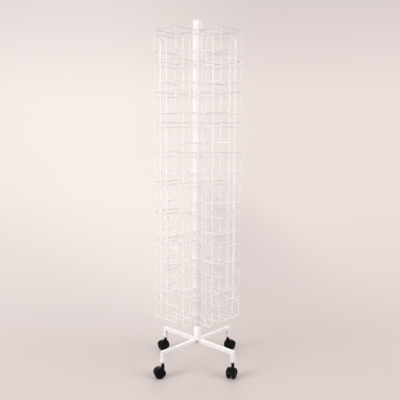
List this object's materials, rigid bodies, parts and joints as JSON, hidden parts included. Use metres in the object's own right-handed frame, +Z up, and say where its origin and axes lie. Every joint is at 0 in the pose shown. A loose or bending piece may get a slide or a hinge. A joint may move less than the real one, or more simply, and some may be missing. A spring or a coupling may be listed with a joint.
{
  "type": "spinner display rack",
  "caption": "Free-standing white wire basket rack that spins on a central square post, on a cross base with swivel castors.",
  "frame": {"origin": "on the floor, under the axis of the post", "axes": "+Z up along the post; +X and +Y along the legs and the basket walls, with one column of baskets in the +X +Y corner and the other in the -X -Y corner"},
  "size_m": [0.5537, 0.5699, 1.6893],
  "materials": {
    "white_powder_coat": "satin",
    "zinc_plated_steel": "satin",
    "natural_nylon": "matte",
    "black_moulded_plastic": "matte"
  },
  "bodies": {
    "base": {"base_socket": "white_powder_coat", "spindle": "zinc_plated_steel", "thrust_washer": "natural_nylon", "leg_front_right": "white_powder_coat", "leg_back_right": "white_powder_coat", "leg_back_left": "white_powder_coat", "leg_front_left": "white_powder_coat", "castor_stem_front_right": "zinc_plated_steel", "castor_stem_back_right": "zinc_plated_steel", "castor_stem_back_left": "zinc_plated_steel", "castor_stem_front_left": "zinc_plated_steel"},
    "spinner": {"post_tube": "white_powder_coat", "post_cap": "white_powder_coat", "lower_bush": "natural_nylon", "upper_bush": "natural_nylon", "right_basket_01": "white_powder_coat", "right_basket_02": "white_powder_coat", "right_basket_03": "white_powder_coat", "right_basket_04": "white_powder_coat", "right_basket_05": "white_powder_coat", "right_basket_06": "white_powder_coat", "right_basket_07": "white_powder_coat", "right_basket_08": "white_powder_coat", "right_basket_09": "white_powder_coat", "right_basket_10": "white_powder_coat", "right_hairpin_inner_x": "white_powder_coat", "right_hairpin_outer_x": "white_powder_coat", "right_hairpin_inner_y": "white_powder_coat", "right_hairpin_outer_y": "white_powder_coat", "left_basket_01": "white_powder_coat", "left_basket_02": "white_powder_coat", "left_basket_03": "white_powder_coat", "left_basket_04": "white_powder_coat", "left_basket_05": "white_powder_coat", "left_basket_06": "white_powder_coat", "left_basket_07": "white_powder_coat", "left_basket_08": "white_powder_coat", "left_basket_09": "white_powder_coat", "left_basket_10": "white_powder_coat", "left_hairpin_inner_x": "white_powder_coat", "left_hairpin_outer_x": "white_powder_coat", "left_hairpin_inner_y": "white_powder_coat", "left_hairpin_outer_y": "white_powder_coat"},
    "castor_front_right": {"castor_hood_front_right": "black_moulded_plastic", "castor_axle_front_right": "zinc_plated_steel"},
    "wheel_front_right_a": {"castor_wheel_front_right_a": "black_moulded_plastic"},
    "wheel_front_right_b": {"castor_wheel_front_right_b": "black_moulded_plastic"},
    "castor_back_right": {"castor_hood_back_right": "black_moulded_plastic", "castor_axle_back_right": "zinc_plated_steel"},
    "wheel_back_right_a": {"castor_wheel_back_right_a": "black_moulded_plastic"},
    "wheel_back_right_b": {"castor_wheel_back_right_b": "black_moulded_plastic"},
    "castor_back_left": {"castor_hood_back_left": "black_moulded_plastic", "castor_axle_back_left": "zinc_plated_steel"},
    "wheel_back_left_a": {"castor_wheel_back_left_a": "black_moulded_plastic"},
    "wheel_back_left_b": {"castor_wheel_back_left_b": "black_moulded_plastic"},
    "castor_front_left": {"castor_hood_front_left": "black_moulded_plastic", "castor_axle_front_left": "zinc_plated_steel"},
    "wheel_front_left_a": {"castor_wheel_front_left_a": "black_moulded_plastic"},
    "wheel_front_left_b": {"castor_wheel_front_left_b": "black_moulded_plastic"}
  },
  "joints": [
    {"name": "spinner_turn", "type": "hinge", "parent": "base", "child": "spinner", "pos_m": [0, 0, 0.2], "axis": [0, 0, 1], "continuous": true},
    {"name": "castor_swivel_front_right", "type": "hinge", "parent": "base", "child": "castor_front_right", "pos_m": [0.236, 0, 0.06], "axis": [0, 0, 1], "continuous": true},
    {"name": "wheel_roll_front_right_a", "type": "hinge", "parent": "castor_front_right", "child": "wheel_front_right_a", "pos_m": [0.24181, -0.01597, 0.02469], "axis": [0.9397, 0.342, 0], "continuous": true},
    {"name": "wheel_roll_front_right_b", "type": "hinge", "parent": "castor_front_right", "child": "wheel_front_right_b", "pos_m": [0.24181, -0.01597, 0.02469], "axis": [0.9397, 0.342, 0], "continuous": true},
    {"name": "castor_swivel_back_right", "type": "hinge", "parent": "base", "child": "castor_back_right", "pos_m": [0, 0.236, 0.06], "axis": [0, 0, 1], "continuous": true},
    {"name": "wheel_roll_back_right_a", "type": "hinge", "parent": "castor_back_right", "child": "wheel_back_right_a", "pos_m": [0.00237, 0.25283, 0.02469], "axis": [-0.9903, 0.1392, 0], "continuous": true},
    {"name": "wheel_roll_back_right_b", "type": "hinge", "parent": "castor_back_right", "child": "wheel_back_right_b", "pos_m": [0.00237, 0.25283, 0.02469], "axis": [-0.9903, 0.1392, 0], "continuous": true},
    {"name": "castor_swivel_back_left", "type": "hinge", "parent": "base", "child": "castor_back_left", "pos_m": [-0.236, 0, 0.06], "axis": [0, 0, 1], "continuous": true},
    {"name": "wheel_roll_back_left_a", "type": "hinge", "parent": "castor_back_left", "child": "wheel_back_left_a", "pos_m": [-0.25299, -0.00059, 0.02469], "axis": [0.0349, -0.9994, 0], "continuous": true},
    {"name": "wheel_roll_back_left_b", "type": "hinge", "parent": "castor_back_left", "child": "wheel_back_left_b", "pos_m": [-0.25299, -0.00059, 0.02469], "axis": [0.0349, -0.9994, 0], "continuous": true},
    {"name": "castor_swivel_front_left", "type": "hinge", "parent": "base", "child": "castor_front_left", "pos_m": [0, -0.236, 0.06], "axis": [0, 0, 1], "continuous": true},
    {"name": "wheel_roll_front_left_a", "type": "hinge", "parent": "castor_front_left", "child": "wheel_front_left_a", "pos_m": [-0.00798, -0.25101, 0.02469], "axis": [0.8829, -0.4695, 0], "continuous": true},
    {"name": "wheel_roll_front_left_b", "type": "hinge", "parent": "castor_front_left", "child": "wheel_front_left_b", "pos_m": [-0.00798, -0.25101, 0.02469], "axis": [0.8829, -0.4695, 0], "continuous": true}
  ]
}
